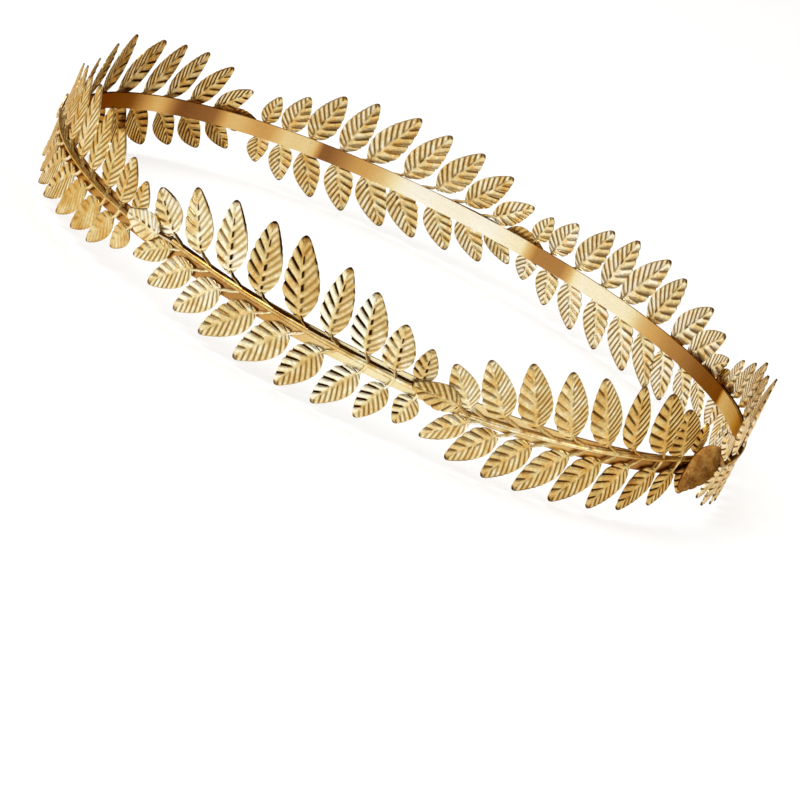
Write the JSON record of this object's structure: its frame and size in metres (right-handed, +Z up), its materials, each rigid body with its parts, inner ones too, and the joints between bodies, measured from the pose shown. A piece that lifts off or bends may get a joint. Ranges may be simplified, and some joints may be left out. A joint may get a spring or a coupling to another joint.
{
  "type": "leaf crown",
  "caption": "Closed oval metal headband ringed outside with sprays of pressed leaves on short stalks, laid end to end.",
  "frame": {"origin": "middle of the oval, in the plane that the lowest leaf tips rest on", "axes": "+Z up, through the opening for the head; X along the oval's long axis, Y along its short axis"},
  "size_m": [0.1853, 0.1779, 0.0338],
  "materials": {
    "band": "satin gold plate, darker where it turns from the light",
    "leaf": "polished gold plate over pressed ribs, with dark recesses"
  },
  "bodies": {
    "root": {"band": "band", "spray_1": "leaf", "spray_2": "leaf", "spray_3": "leaf", "spray_4": "leaf", "spray_5": "leaf", "spray_6": "leaf", "spray_7": "leaf"}
  },
  "joints": []
}
